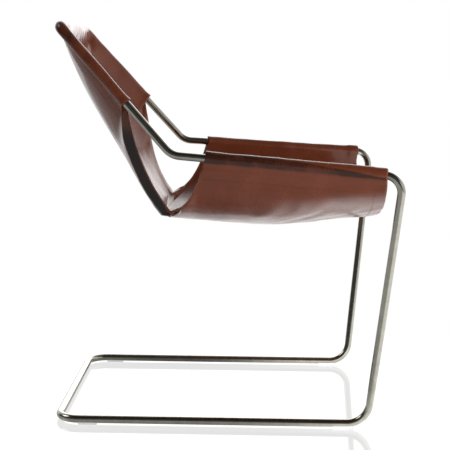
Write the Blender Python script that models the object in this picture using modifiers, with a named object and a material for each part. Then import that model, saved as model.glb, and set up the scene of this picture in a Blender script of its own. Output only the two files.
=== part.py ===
"""Cantilever lounge chair: one bent steel bar that carries a leather sling.

Units are metres. X points forward, Y to the sitter's left and Z up. The origin is on the
floor, midway along the chair's depth and width.
"""
import math

import bmesh
import bpy
import numpy as np
from mathutils import Vector
from mathutils.geometry import interpolate_bezier, intersect_point_line

# Steel bar: its thickness and the corners of its centre line
BAR_DIAMETER = 0.017
BASE_WIDTH = 0.532
RUNNER_LENGTH = 0.657
LEG_LEAN = 0.053
ARM_HEIGHT = 0.5435
ARM_WIDTH = 0.683
ARM_LENGTH = 0.471
ARM_RISE = 0.030
ARM_REAR_WIDTH = 0.498
BACK_LEAN = 0.240
BACK_RISE = 0.264
BACK_TOP_WIDTH = 0.385

# Bend radii at the centre line
REAR_BEND = 0.045
FOOT_BEND = 0.048
ARM_BEND = 0.036
BACK_BEND = 0.045
TOP_BEND = 0.026

# Springing stretch in the middle of each front leg
FLEX_LENGTH = 0.040

# Clear glides under the runners
GLIDE_LENGTH = 0.040
GLIDE_WIDTH = 0.013
GLIDE_SOLE = 0.002
GLIDE_LIP = 0.0042
GLIDE_FROM_FOOT = 0.052
GLIDE_FROM_REAR = 0.064
GLIDE_EDGE = 0.0008

# Leather: its thickness, its doubled edges and where the sleeves end on the bar
HIDE = 0.0032
HEM_PLY = 0.0028
FRONT_HEM = 0.024
NOTCH_HEM = 0.034
FLAP_WIDTH = 0.014
ARM_SLEEVE_REAR = 0.071
ARM_SLEEVE_LAP = 0.006
BACK_SLEEVE_LOW = 0.142
POCKET_SKIRT = 0.012

# Sling: the crease, the notch, the seat's lowest point and the front edge
CREASE_DROP = 0.155
CREASE_SETBACK = 0.033
CREASE_SLOPE = math.radians(35)
CREASE_BACK_ROUNDING = 0.008
CREASE_SEAT_ROUNDING = 0.020
NOTCH_WIDTH = 0.360
NOTCH_DROP = 0.126
NOTCH_SETBACK = 0.0146
SEAT_LOW_SETBACK = 0.246
SEAT_LOW_DROP = 0.028
FRONT_DROP = 0.1135
TOP_PULL = Vector((-0.042, 0, -0.050))
LOW_REAR_PULL = Vector((-0.150, 0, 0.004))
LOW_FRONT_PULL = Vector((0.060, 0, -0.0016))
FRONT_PULL = Vector((-0.120, 0, -0.0137))
NOTCH_BACK_PULL = Vector((0.010, -0.005, -0.088))
NOTCH_FOOT_PULL = Vector((-0.049, 0.006, 0.060))
SEAT_FOOT_PULL = Vector((0.040, 0.030, 0.016))
SEAT_TOP_PULL = Vector((-0.012, -0.012, -0.050))
BACK_ROUNDNESS = 0.90
SEAT_ROUNDNESS = 0.95

# Clearances
FIT_GAP = 0.0003
PLY_GAP = 0.0004
SEAM_GAP = 0.0005
ARM_SEAM_GAP = 0.0017
ARM_SEAM_OUT = 0.008
BACK_SEAM_TILT = math.radians(40)
SAME_PLACE = 0.00005

# Mesh density
BAR_ROUNDING = 6
ARC_STEPS = 8
CURVE_STEPS = 24
BACK_ROWS = 18
SEAT_ROWS = 16
PANEL_COLUMNS = 14
ROW_GATHER = 1.5
SHARP_ANGLE = math.radians(40)

BAR_RADIUS = BAR_DIAMETER / 2
BORE_RADIUS = BAR_RADIUS + FIT_GAP
SLEEVE_RADIUS = BORE_RADIUS + HIDE
LEFT = 1
RIGHT = -1
SIDES = {"left": LEFT, "right": RIGHT}

STEEL = {"colour": (0.60, 0.58, 0.54), "roughness": 0.16, "metallic": 1.0}
LEATHER = {"colour": (0.133, 0.041, 0.027), "roughness": 0.32, "metallic": 0.0}
HEM_LEATHER = {"colour": (0.105, 0.034, 0.022), "roughness": 0.36, "metallic": 0.0}
CLEAR_PLASTIC = {"colour": (0.80, 0.82, 0.80), "roughness": 0.12, "metallic": 0.0}


# Paths

def mirrored(point, side):
    """The point on the left side, or its mirror image on the right."""
    return Vector((point.x, side * point.y, point.z))


def tangent_length(before, corner, after, radius):
    """Distance from a corner to where its bend starts."""
    angle = (before - corner).angle(after - corner)
    return radius / math.tan(angle / 2)


def rounded_path(corners, radii):
    """Centre line through the corners, each turned on its bend radius."""
    path = [corners[0]]
    for before, corner, after, radius in zip(corners, corners[1:], corners[2:], radii):
        towards = (before - corner).normalized()
        away = (after - corner).normalized()
        angle = towards.angle(away)
        centre = corner + (towards + away).normalized() * radius / math.sin(angle / 2)
        reach = tangent_length(before, corner, after, radius)
        start = (corner + towards * reach - centre).normalized()
        end = (corner + away * reach - centre).normalized()
        for step in range(ARC_STEPS + 1):
            path.append(centre + start.slerp(end, step / ARC_STEPS) * radius)
    path.append(corners[-1])
    return path


def distances(path):
    """Distance along the path to each of its points."""
    total = [0.0]
    for start, end in zip(path, path[1:]):
        total.append(total[-1] + (end - start).length)
    return total


def point_at(path, distance):
    """The point at a distance along the path."""
    marks = distances(path)
    for index, mark in enumerate(marks[1:]):
        if distance <= mark:
            share = (distance - marks[index]) / (mark - marks[index])
            return path[index].lerp(path[index + 1], share)
    return path[-1].copy()


def distance_to(path, place):
    """Distance along the path to where it passes closest to a place."""
    marks = distances(path)
    options = []
    for index, (start, end) in enumerate(zip(path, path[1:])):
        share = min(max(intersect_point_line(place, start, end)[1], 0.0), 1.0)
        closest = start.lerp(end, share)
        options.append(((closest - place).length, marks[index] + share * (end - start).length))
    return min(options)[1]


def stretch(path, start, end):
    """The part of the path between two distances along it."""
    marked = zip(path, distances(path))
    inside = [point for point, mark in marked if start + SAME_PLACE < mark < end - SAME_PLACE]
    return [point_at(path, start)] + inside + [point_at(path, end)]


def resampled(path, shares):
    """Points at the given shares of the path's length."""
    total = distances(path)[-1]
    return [point_at(path, share * total) for share in shares]


def bezier(start, start_pull, end_pull, end):
    """A smooth curve between two points, drawn towards its two pulls."""
    handles = (start, start + start_pull, end + end_pull, end)
    return interpolate_bezier(*handles, CURVE_STEPS + 1)


# The bar's centre line

def bar_corners():
    """Corners of the bar on the left, from the rear of the base to the top of the back."""
    axis_height = GLIDE_SOLE + FIT_GAP + BAR_RADIUS
    front = RUNNER_LENGTH + LEG_LEAN
    rear_base = Vector((0, BASE_WIDTH / 2, axis_height))
    foot = Vector((RUNNER_LENGTH, BASE_WIDTH / 2, axis_height))
    arm_front = Vector((front, ARM_WIDTH / 2, ARM_HEIGHT))
    arm_rear = Vector((front - ARM_LENGTH, ARM_REAR_WIDTH / 2, ARM_HEIGHT + ARM_RISE))
    back_top = arm_rear + Vector((-BACK_LEAN, 0, BACK_RISE))
    back_top.y = BACK_TOP_WIDTH / 2
    return [rear_base, foot, arm_front, arm_rear, back_top]


def half_bar(corners):
    """The left half of the bar, from the middle of the base to the middle of the top."""
    rear_middle = Vector((corners[0].x, 0, corners[0].z))
    top_middle = Vector((corners[-1].x, 0, corners[-1].z))
    radii = [REAR_BEND, FOOT_BEND, ARM_BEND, BACK_BEND, TOP_BEND]
    return rounded_path([rear_middle] + corners + [top_middle], radii)


def centred_corners():
    """The bar's corners, moved so that the origin is midway along the chair's depth."""
    corners = bar_corners()
    front = max(point.x for point in half_bar(corners)) + BAR_RADIUS
    rear = min(corners[0].x - BAR_RADIUS, corners[-1].x - SLEEVE_RADIUS)
    shift = Vector((-(front + rear) / 2, 0, 0))
    return [corner + shift for corner in corners]


CORNERS = centred_corners()
REAR_BASE, FOOT, ARM_FRONT, ARM_REAR, BACK_TOP = CORNERS
HALF_BAR = half_bar(CORNERS)
LEG_MIDDLE = (FOOT + ARM_FRONT) / 2


def along_bar(corner, towards, distance):
    """Distance along the half bar to a place that far from a corner."""
    return distance_to(HALF_BAR, corner + (towards - corner).normalized() * distance)


LEG_SPAN = (ARM_FRONT - FOOT).length
FLEX_START = along_bar(FOOT, ARM_FRONT, (LEG_SPAN - FLEX_LENGTH) / 2)
FLEX_END = along_bar(FOOT, ARM_FRONT, (LEG_SPAN + FLEX_LENGTH) / 2)
ARM_TANGENT = tangent_length(FOOT, ARM_FRONT, ARM_REAR, ARM_BEND)
ARM_SLEEVE_START = along_bar(ARM_FRONT, ARM_REAR, ARM_TANGENT) - ARM_SLEEVE_LAP
ARM_SLEEVE_END = along_bar(ARM_REAR, ARM_FRONT, ARM_SLEEVE_REAR)
BACK_SLEEVE_START = along_bar(ARM_REAR, BACK_TOP, BACK_SLEEVE_LOW)
TOP_MIDDLE = Vector((BACK_TOP.x, 0, BACK_TOP.z))
TOP_TANGENT = tangent_length(ARM_REAR, BACK_TOP, TOP_MIDDLE, TOP_BEND)
POCKET_START = along_bar(BACK_TOP, ARM_REAR, TOP_TANGENT + POCKET_SKIRT)
POCKET_CORNER = along_bar(BACK_TOP, TOP_MIDDLE, TOP_TANGENT)
BAR_END = distances(HALF_BAR)[-1]


def on_side(path, side):
    """The path on the left side, or its mirror image on the right."""
    return [mirrored(point, side) for point in path]


def both_sides(half, middle_first):
    """One path across the chair from a left half that starts or ends in the middle."""
    left = half[::-1] if middle_first else half
    right = on_side(left[:-1], RIGHT)
    return left + right[::-1]


# Objects

def clear_scene():
    """Remove what the scene holds already."""
    for item in list(bpy.data.objects):
        bpy.data.objects.remove(item, do_unlink=True)


def new_collection(name):
    """A collection linked to the scene."""
    collection = bpy.data.collections.new(name)
    bpy.context.scene.collection.children.link(collection)
    return collection


def finish(item, look):
    """Give an object its own material."""
    material = bpy.data.materials.new(item.name + "_finish")
    material.use_nodes = True
    shader = material.node_tree.nodes["Principled BSDF"]
    shader.inputs["Base Color"].default_value = (*look["colour"], 1)
    shader.inputs["Roughness"].default_value = look["roughness"]
    shader.inputs["Metallic"].default_value = look["metallic"]
    item.data.materials.clear()
    item.data.materials.append(material)


def add_object(name, mesh, collection):
    """A named object for a mesh, shaded smooth with its sharp edges kept."""
    mesh.name = name
    mesh.shade_smooth()
    mesh.set_sharp_from_angle(angle=SHARP_ANGLE)
    item = bpy.data.objects.new(name, mesh)
    collection.objects.link(item)
    return item


def tube(name, path, radius, collection):
    """A round solid along a path, with its end caps welded on."""
    curve = bpy.data.curves.new(name, "CURVE")
    curve.dimensions = "3D"
    curve.bevel_depth = radius
    curve.bevel_resolution = BAR_ROUNDING
    curve.use_fill_caps = True
    spline = curve.splines.new("POLY")
    spline.points.add(len(path) - 1)
    for spot, point in zip(spline.points, path):
        spot.co = (*point, 1)
    drawn = bpy.data.objects.new(name + "_path", curve)
    bpy.context.scene.collection.objects.link(drawn)
    evaluated = drawn.evaluated_get(bpy.context.evaluated_depsgraph_get())
    mesh = bpy.data.meshes.new_from_object(evaluated)
    bpy.data.objects.remove(drawn, do_unlink=True)
    shape = bmesh.new()
    shape.from_mesh(mesh)
    bmesh.ops.remove_doubles(shape, verts=shape.verts, dist=SAME_PLACE)
    bmesh.ops.recalc_face_normals(shape, faces=shape.faces)
    shape.to_mesh(mesh)
    shape.free()
    return add_object(name, mesh, collection)


def hidden_cutter(item):
    """Mark an object as a cutter only."""
    item.hide_render = True
    item.display_type = "WIRE"
    return item


def cut(item, cutter):
    """Cut one solid out of another."""
    modifier = item.modifiers.new("cut", "BOOLEAN")
    modifier.operation = "DIFFERENCE"
    modifier.object = hidden_cutter(cutter)


def overrun(path):
    """The path, run on past both its ends by a sleeve's radius."""
    before = (path[0] - path[1]).normalized() * SLEEVE_RADIUS
    after = (path[-1] - path[-2]).normalized() * SLEEVE_RADIUS
    return [path[0] + before] + path + [path[-1] + after]


def sleeve(name, path, parts, cutters):
    """A leather tube round the bar, open at both ends."""
    item = tube(name, path, SLEEVE_RADIUS, parts)
    cut(item, tube(name + "_bore", overrun(path), BORE_RADIUS, cutters))
    finish(item, LEATHER)
    return item


# Steel bar

def make_bar(parts):
    """The bar: base, springing leg stretches, and the arms with the back."""
    base = tube("base_bar", both_sides(stretch(HALF_BAR, 0, FLEX_START), True), BAR_RADIUS, parts)
    finish(base, STEEL)
    for side_name, side in SIDES.items():
        path = stretch(HALF_BAR, FLEX_START + FIT_GAP, FLEX_END - FIT_GAP)
        flex = tube("leg_flex_" + side_name, on_side(path, side), BAR_RADIUS, parts)
        finish(flex, STEEL)
    path = both_sides(stretch(HALF_BAR, FLEX_END, BAR_END), False)
    upper = tube("upper_bar", path, BAR_RADIUS, parts)
    finish(upper, STEEL)
    return [upper]


# Floor glides

def make_glide(name, centre_x, side, parts, cutters):
    """A clear pad that cradles the underside of a runner."""
    height = GLIDE_SOLE + GLIDE_LIP
    place = (centre_x, side * BASE_WIDTH / 2, height / 2)
    bpy.ops.mesh.primitive_cube_add(size=1, location=place)
    glide = bpy.context.object
    glide.name = name
    glide.scale = (GLIDE_LENGTH, GLIDE_WIDTH, height)
    bpy.ops.object.transform_apply(location=False, rotation=False, scale=True)
    for owner in list(glide.users_collection):
        owner.objects.unlink(glide)
    parts.objects.link(glide)
    bevel = glide.modifiers.new("rounded edges", "BEVEL")
    bevel.width = GLIDE_EDGE
    bevel.segments = 1
    middle = distance_to(HALF_BAR, Vector((centre_x, BASE_WIDTH / 2, REAR_BASE.z)))
    path = stretch(HALF_BAR, middle - GLIDE_LENGTH, middle + GLIDE_LENGTH)
    cut(glide, tube(name + "_seat", on_side(path, side), BORE_RADIUS, cutters))
    finish(glide, CLEAR_PLASTIC)


def make_glides(parts, cutters):
    """Four glides, near the corners of the base."""
    places = {"front": FOOT.x - GLIDE_FROM_FOOT, "rear": REAR_BASE.x + GLIDE_FROM_REAR}
    for end_name, centre_x in places.items():
        for side_name, side in SIDES.items():
            make_glide(f"glide_{end_name}_{side_name}", centre_x, side, parts, cutters)


# Sling

def back_normal():
    """Direction straight out of the rear of the back's frame."""
    return (BACK_TOP - ARM_REAR).cross(Vector((0, 1, 0))).normalized()


def back_seam(path):
    """Where the panel meets the sleeves of the back, just inside the bar."""
    reach = SLEEVE_RADIUS + SEAM_GAP
    rear = back_normal()
    seam = []
    for index, point in enumerate(path):
        heading = path[min(index + 1, len(path) - 1)] - path[max(index - 1, 0)]
        inward = heading.normalized().cross(rear)
        offset = inward * math.cos(BACK_SEAM_TILT) + rear * math.sin(BACK_SEAM_TILT)
        seam.append(point + offset * reach)
    return seam


def arm_seam(path):
    """Where the panel meets the arm sleeve, just below the bar."""
    outward = Vector((0, 0, 1)).cross(ARM_REAR - ARM_FRONT).normalized() * -ARM_SEAM_OUT
    offset = outward - Vector((0, 0, SLEEVE_RADIUS + ARM_SEAM_GAP))
    return [point + offset for point in path]


def back_edge():
    """Left edge of the back: under the top pocket, along the sleeve, down to the notch."""
    along_sleeve = stretch(HALF_BAR, BACK_SLEEVE_START, POCKET_CORNER)
    held = back_seam(along_sleeve)[::-1]
    free = bezier(held[-1], NOTCH_BACK_PULL, NOTCH_FOOT_PULL, notch_foot())
    return held[:-1] + free


def seat_edge():
    """Left edge of the seat: up out of the notch, then forward along the arm."""
    held = arm_seam(stretch(HALF_BAR, ARM_SLEEVE_START, ARM_SLEEVE_END))[::-1]
    free = bezier(notch_foot(), SEAT_FOOT_PULL, SEAT_TOP_PULL, held[0])
    return free + held[1:]


def notch_foot():
    """Lowest point of the opening between the back's edge and the seat's edge."""
    return Vector((ARM_REAR.x - NOTCH_SETBACK, NOTCH_WIDTH / 2, ARM_REAR.z - NOTCH_DROP))


def crease():
    """Where the back turns into the seat, in the chair's middle plane."""
    return Vector((ARM_REAR.x - CREASE_SETBACK, 0, ARM_REAR.z - CREASE_DROP))


def crease_pull(length):
    """Pull that rounds the crease, pointing on into the seat."""
    return Vector((math.cos(CREASE_SLOPE), 0, -math.sin(CREASE_SLOPE))) * length


def back_middle():
    """Middle line of the back, from the top pocket down to the crease."""
    top = back_seam([TOP_MIDDLE + Vector((0, HIDE, 0)), TOP_MIDDLE])[-1]
    return bezier(top, TOP_PULL, -crease_pull(CREASE_BACK_ROUNDING), crease())


def seat_middle():
    """Middle line of the seat, from the crease by its lowest point to the front edge."""
    arm_end = point_at(HALF_BAR, ARM_SLEEVE_START)
    front = Vector((arm_end.x, 0, arm_end.z - FRONT_DROP))
    low = front - Vector((SEAT_LOW_SETBACK, 0, SEAT_LOW_DROP))
    rear_half = bezier(crease(), crease_pull(CREASE_SEAT_ROUNDING), LOW_REAR_PULL, low)
    return rear_half[:-1] + bezier(low, LOW_FRONT_PULL, FRONT_PULL, front)


def seat_rows(path, gather):
    """Points along the seat, closer together at the crease, the last one a hem apart."""
    before_hem = 1 - FRONT_HEM / distances(path)[-1]
    shares = [(row / SEAT_ROWS) ** gather * before_hem for row in range(1, SEAT_ROWS + 1)]
    return resampled(path, shares + [1])


def sling_rows():
    """Pairs of points, in the middle and on the left edge, for each row of the sling."""
    shares = [row / BACK_ROWS for row in range(BACK_ROWS + 1)]
    gathered = [1 - (1 - share) ** ROW_GATHER for share in shares]
    middle = resampled(back_middle(), gathered) + seat_rows(seat_middle(), ROW_GATHER)
    edge = resampled(back_edge(), shares) + seat_rows(seat_edge(), 1)
    return list(zip(middle, edge))


def row_roundness(row):
    """How far a row's cross section is an ellipse and not a parabola."""
    entry = (ARM_REAR.z - notch_foot().z) / distances(seat_edge())[-1]
    share = (row - BACK_ROWS) / (SEAT_ROWS * entry)
    share = min(max(share, 0), 1)
    return BACK_ROUNDNESS + (SEAT_ROUNDNESS - BACK_ROUNDNESS) * share


def sling_point(row, across, rows):
    """A point on the outer face of the sling."""
    middle, edge = rows[row]
    roundness = row_roundness(row)
    quarter = across * math.pi / 2
    spread = (1 - roundness) * across + roundness * math.sin(quarter)
    climb = (1 - roundness) * across ** 2 + roundness * (1 - math.cos(quarter))
    point = middle.lerp(Vector((edge.x, 0, edge.z)), climb)
    point.y = edge.y * spread
    return point


def edge_band(row):
    """Width of the doubled band at a row's ends: a hem down the notch, a flap elsewhere."""
    first, last = notch_hem_rows()
    return NOTCH_HEM if first <= row <= last else FLAP_WIDTH


def column_shares(row, rows):
    """Places across a row from -1 to 1, with the outermost column as wide as its band."""
    shares = [step / CURVE_STEPS for step in range(CURVE_STEPS + 1)]
    marks = distances([sling_point(row, share, rows) for share in shares])
    inner = np.interp(marks[-1] - edge_band(row), marks, shares)
    count = PANEL_COLUMNS - 2
    return [-1] + [inner * (2 * column / count - 1) for column in range(count + 1)] + [1]


def sling_sheet(name, row_span, column_span, thickness, lift, look, parts):
    """A sheet over some rows and columns of the sling, lifted towards the sitter."""
    rows = sling_rows()
    columns = [column_shares(row, rows) for row in range(len(rows))]
    first_row, last_row = row_span
    first_column, last_column = column_span
    shape = bmesh.new()
    row_count = last_row - first_row
    column_count = last_column - first_column
    bmesh.ops.create_grid(shape, x_segments=column_count, y_segments=row_count, size=1)
    for corner in shape.verts:
        column = first_column + round((corner.co.x + 1) / 2 * column_count)
        row = first_row + round((corner.co.y + 1) / 2 * row_count)
        corner.co = sling_point(row, columns[row][column], rows)
    mesh = bpy.data.meshes.new(name)
    shape.to_mesh(mesh)
    shape.free()
    item = add_object(name, mesh, parts)
    shell = item.modifiers.new("thickness", "SOLIDIFY")
    shell.thickness = thickness
    shell.offset = -1 - 2 * lift / thickness
    shell.use_even_offset = True
    finish(item, look)
    return item


def notch_hem_rows():
    """First and last row of the hem down a notch, from below the back sleeve to the crease."""
    sleeve_end = point_at(HALF_BAR, BACK_SLEEVE_START).z - SLEEVE_RADIUS
    below = [row for row, (_, edge) in enumerate(sling_rows()) if edge.z < sleeve_end]
    return below[0], BACK_ROWS


def back_flap_rows():
    """First and last row of the flap inside a back sleeve, clear of the top pocket."""
    pocket_end = point_at(HALF_BAR, POCKET_START).z - SLEEVE_RADIUS
    sleeve_end = point_at(HALF_BAR, BACK_SLEEVE_START).z
    edges = [edge for _, edge in sling_rows()[:BACK_ROWS]]
    held = [row for row, edge in enumerate(edges) if sleeve_end < edge.z < pocket_end]
    return held[0], held[-1]


def arm_flap_rows():
    """First and last row of the flap inside an arm sleeve, a row clear of the front hem."""
    sleeve_end = point_at(HALF_BAR, ARM_SLEEVE_END).x
    rows = sling_rows()
    held = [row for row in range(BACK_ROWS, len(rows)) if rows[row][1].x > sleeve_end]
    return held[0], held[-3]


def make_sling(parts, cutters):
    """The leather: panel, sleeves with their flaps, top pocket and hems."""
    last_row = BACK_ROWS + SEAT_ROWS + 1
    last_column = PANEL_COLUMNS
    leather = [sling_sheet("sling_panel", (0, last_row), (0, last_column), HIDE, 0, LEATHER, parts)]
    inside = (HEM_PLY, HIDE + PLY_GAP, HEM_LEATHER, parts)
    outside = (HEM_PLY, -HEM_PLY - PLY_GAP, HEM_LEATHER, parts)
    front_rows = (last_row - 1, last_row)
    leather.append(sling_sheet("front_hem", front_rows, (1, last_column - 1), *inside))
    edge_columns = {"right": (0, 1), "left": (last_column - 1, last_column)}
    for side_name, columns in edge_columns.items():
        leather.append(sling_sheet("notch_hem_" + side_name, notch_hem_rows(), columns, *outside))
        leather.append(sling_sheet("back_flap_" + side_name, back_flap_rows(), columns, *inside))
        leather.append(sling_sheet("arm_flap_" + side_name, arm_flap_rows(), columns, *inside))
    for side_name, side in SIDES.items():
        arm = on_side(stretch(HALF_BAR, ARM_SLEEVE_START, ARM_SLEEVE_END), side)
        leather.append(sleeve("arm_sleeve_" + side_name, arm, parts, cutters))
        back = on_side(stretch(HALF_BAR, BACK_SLEEVE_START, POCKET_START - FIT_GAP), side)
        leather.append(sleeve("back_sleeve_" + side_name, back, parts, cutters))
    pocket = both_sides(stretch(HALF_BAR, POCKET_START, BAR_END), False)
    leather.append(sleeve("top_pocket", pocket, parts, cutters))
    return leather


def make_spring_axis(riders, parts):
    """An empty on the axis about which the legs spring, which carries all above it."""
    axis = bpy.data.objects.new("spring_axis", None)
    axis.location = (LEG_MIDDLE.x, 0, LEG_MIDDLE.z)
    parts.objects.link(axis)
    bpy.context.view_layer.update()
    for rider in riders:
        rider.parent = axis
        rider.matrix_parent_inverse = axis.matrix_world.inverted()


def main():
    """Build the chair."""
    clear_scene()
    parts = new_collection("lounge_chair")
    cutters = new_collection("cutters")
    upper = make_bar(parts)
    make_glides(parts, cutters)
    leather = make_sling(parts, cutters)
    make_spring_axis(upper + leather, parts)


main()
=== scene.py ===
"""Looks of the cantilever lounge chair: one bent steel bar and the leather sling hung on it.

Units are metres. X points forward, Y to the sitter's left and Z up.
"""

import math

import bmesh
import bpy
import numpy as np
from mathutils import Matrix, Vector, noise


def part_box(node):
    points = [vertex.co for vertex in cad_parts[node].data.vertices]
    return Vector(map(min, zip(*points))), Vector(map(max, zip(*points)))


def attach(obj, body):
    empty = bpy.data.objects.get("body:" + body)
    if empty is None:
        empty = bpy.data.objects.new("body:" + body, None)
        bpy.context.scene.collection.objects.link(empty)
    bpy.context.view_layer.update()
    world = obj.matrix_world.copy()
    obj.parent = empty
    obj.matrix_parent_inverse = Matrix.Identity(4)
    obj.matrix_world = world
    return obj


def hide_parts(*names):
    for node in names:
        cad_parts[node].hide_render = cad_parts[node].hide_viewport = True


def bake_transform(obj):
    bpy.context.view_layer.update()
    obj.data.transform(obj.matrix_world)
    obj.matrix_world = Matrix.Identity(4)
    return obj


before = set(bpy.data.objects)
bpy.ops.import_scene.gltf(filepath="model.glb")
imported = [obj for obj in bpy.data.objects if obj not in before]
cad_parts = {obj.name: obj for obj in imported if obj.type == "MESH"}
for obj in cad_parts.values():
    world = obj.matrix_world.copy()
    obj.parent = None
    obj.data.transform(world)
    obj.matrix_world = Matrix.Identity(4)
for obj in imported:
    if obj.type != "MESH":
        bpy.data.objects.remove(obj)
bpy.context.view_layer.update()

# The sitter's sides, directions, and what moves a point onto the middle plane
SIDES = {"left": 1, "right": -1}
UP = np.array((0.0, 0.0, 1.0))
ACROSS = np.array((0.0, 1.0, 0.0))
TO_MIDDLE = np.array((1.0, 0.0, 1.0))

# Steel bar: centre line corners on the left, and the bend at each
BAR_RADIUS = 0.0085
RUNNER_LENGTH = 0.657
BASE_HALF_WIDTH = 0.266
REAR_BASE = np.array((
    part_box("base_bar")[0].x + BAR_RADIUS,
    BASE_HALF_WIDTH,
    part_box("base_bar")[0].z + BAR_RADIUS,
))
FOOT = REAR_BASE + np.array((RUNNER_LENGTH, 0, 0))
ARM_FRONT = np.array((FOOT[0] + 0.053, 0.3415, 0.5435))
ARM_REAR = np.array((ARM_FRONT[0] - 0.471, 0.249, 0.5735))
BACK_TOP = np.array((ARM_REAR[0] - 0.240, 0.1925, 0.8375))
CORNERS = [REAR_BASE, FOOT, ARM_FRONT, ARM_REAR, BACK_TOP]
BENDS = [0.045, 0.048, 0.036, 0.045, 0.026]
BAR_SIDES = 32
BEND_STEPS = 14
DRAW_STEP = 0.022
WELD_GAP = 0.0001

# Leather: thickness, and how thin its turned-in ends are skived
HIDE = 0.0032
PLY_GAP = 0.0003
FLAP_SKIVE = 0.3
FLAP_SKIVE_RUN = 0.014
FOLD_SKIVE = 0.5
FOLD_STEP = HIDE + PLY_GAP + HIDE * FOLD_SKIVE

# Rubbed edges: how far they are rounded, which edges are sharp and which are shaded smooth
HIDE_RUB = 0.0004
BAND_RUB = 0.0005
RUB_STEPS = 2
SHARP_EDGE = math.radians(60)
SMOOTH_EDGE = math.radians(42)

# Hem and flaps: how far they reach and lap
FRONT_HEM = 0.024
FLAP_LAP = 0.008
ARM_FLAP_DROP = 0.024
BACK_FLAP_REACH = 0.046
CORNER_FLAP_REACH = 0.022
CORNER_LAP_SHARE = 0.75
MITRE_GAP = 0.002

# Painted shade over the bar's outer side: from where to where round it from the seam, and how it fades.
# On the arms it narrows from a place along the sleeve to a thin line at the front.
BACK_PAINTED_SHADE = (0.019, 0.050)
BACK_PAINTED_SHADE_DEPTH = 0.7
ARM_PAINTED_SHADE = (0.006, 0.036)
ARM_PAINTED_SHADE_DEPTH = 1.0
ARM_PAINTED_SHADE_FRONT = 0.0095
ARM_PAINTED_SHADE_FULL = 0.3
PAINTED_SHADE_FADE = 0.004

# Sleeve ends on the bar: the hide hangs a little askew, so its two sides differ
ARM_SLEEVE_REAR = {"left": 0.054, "right": 0.069}
ARM_SLEEVE_SLANT = 0.006
ARM_SLANT_RUN = 0.030
ARM_SLEEVE_LAP = 0.006
BACK_SLEEVE_LOW = {"left": 0.139, "right": 0.145}

# Seams beside the bar
ARM_SEAM_OUT = 0.0090
ARM_SEAM_DROP = 0.0155
BACK_SEAM_IN = 0.016
BACK_SEAM_REAR = 0.010
BACK_SEAM_LOW_EXTRA = 0.0085
BACK_SEAM_TOP_EXTRA = 0.0015

# Sleeves: outer radius round the bar, how they flare at their mouths and rise off the arms
BACK_RING = 0.0120
CORNER_SWELL = 0.0006
CORNER_SWELL_RUN = 0.020
MOUTH_FLARE = 0.0016
ARM_MOUTH_FLARE = 0.0008
MOUTH_LENGTH = 0.014
ARM_RING = {"left": 0.0121, "right": 0.0130}
ARM_LIFT = {"left": 0.0003, "right": 0.0019}
HEM_RING = BAR_RADIUS + FOLD_STEP + PLY_GAP
HEM_RING_RUN = 0.006

# Sling: middle line, notch and the pulls of their curves
CREASE = ARM_REAR * TO_MIDDLE + (-0.033, 0, -0.148)
CREASE_SLOPE = math.radians(35)
CREASE_RUN = np.array((math.cos(CREASE_SLOPE), 0, -math.sin(CREASE_SLOPE)))
CREASE_BACK_PULL = -0.008
CREASE_SEAT_PULL = 0.020
FRONT_DROP = 0.1135
LOW_FROM_FRONT = np.array((-0.246, 0, -0.028))
TOP_PULL = np.array((-0.036, 0, -0.050))
LOW_REAR_PULL = np.array((-0.150, 0, 0.004))
LOW_FRONT_PULL = np.array((0.060, 0, -0.0016))
FRONT_PULL = np.array((-0.120, 0, -0.0137))
NOTCH_TOP_IN = 0.013
NOTCH_TOP_REAR = {"left": 0.005, "right": 0.000}
NOTCH_MIDDLE = np.array((ARM_REAR[0] - 0.0146, 0.180, ARM_REAR[2] - 0.126))
NOTCH_SKEW = np.array((0.0095, 0, -0.0015))
NOTCH_FOOT = {"left": NOTCH_MIDDLE - NOTCH_SKEW, "right": NOTCH_MIDDLE + NOTCH_SKEW}
NOTCH_BACK_PULL = np.array((0.010, -0.005, -0.088))
NOTCH_FOOT_PULL = np.array((-0.049, 0.006, 0.060))
SEAT_FOOT_PULL = np.array((0.040, 0.030, 0.016))
SEAT_TOP_PULL = np.array((-0.012, -0.012, -0.050))
BACK_ROUNDNESS = 0.55
SEAT_ROUNDNESS = 0.95
ROW_GATHER = 1.5

# Lip: the free edge of the back turned forward along a crease, less so at the notch's foot and
# hardly at all on the left
LIP = {"left": 0.004, "right": 0.024}
LIP_TUCK = {"left": 0.011, "right": 0.007}
FOOT_LIP_SHARE = 0.4
FOOT_TUCK = 0.012
LIP_EASE = 0.3
LIP_FADE = 0.060
LIP_SOFTNESS = 0.004
LIP_SOFT_ROWS = 5
EDGE_COLUMN_RUN = 0.023

# Doubled band sewn on the outside of the lip, and the painted shade that darkens it from brown to near black
# down its length
BAND_PLY = 0.0018
BAND_GAP = 0.0002
BAND_INSET = 0.003
BAND_SHADE_START = 0.08
BAND_SHADE_FULL = 0.50
BAND_TAPER_ROWS = 5
BAND_TIP_SHARE = 0.75

# Mesh density of the hide, and how many steps before a wrap's end the front fold stops
HELD_BACK_ROWS = 44
FREE_BACK_ROWS = 44
FREE_SEAT_ROWS = 22
ARM_ROWS = 62
HEM_ROWS = 6
HALF_COLUMNS = 40
LIP_COLUMNS = 5
ALL_COLUMNS = HALF_COLUMNS + LIP_COLUMNS
WRAP_STEPS = 38
WRAP_SOFTNESS = 0.0022
FOLD_STEPS = 6
FOLD_STOP = 12
CURVE_STEPS = 64
SECTION_STEPS = 90
CORNER_STEPS = 24
RING_POINTS = 48
ROW_SAMPLES = 4 * ALL_COLUMNS
SOFTENING_SAMPLES = 9

# Columns and rows that give the panel's slope at the sleeves and the top, and rows below the top bar
# that its flap can land on
SLOPE_COLUMNS = 3
SLOPE_ROWS = 2
TOP_REACH_ROWS = 16

# Easing of the seat where the arm sleeves begin: rows to each side, rounds and strength
EASE_REACH = 12
EASE_ROUNDS = 16
EASE_STRENGTH = 0.5

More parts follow.
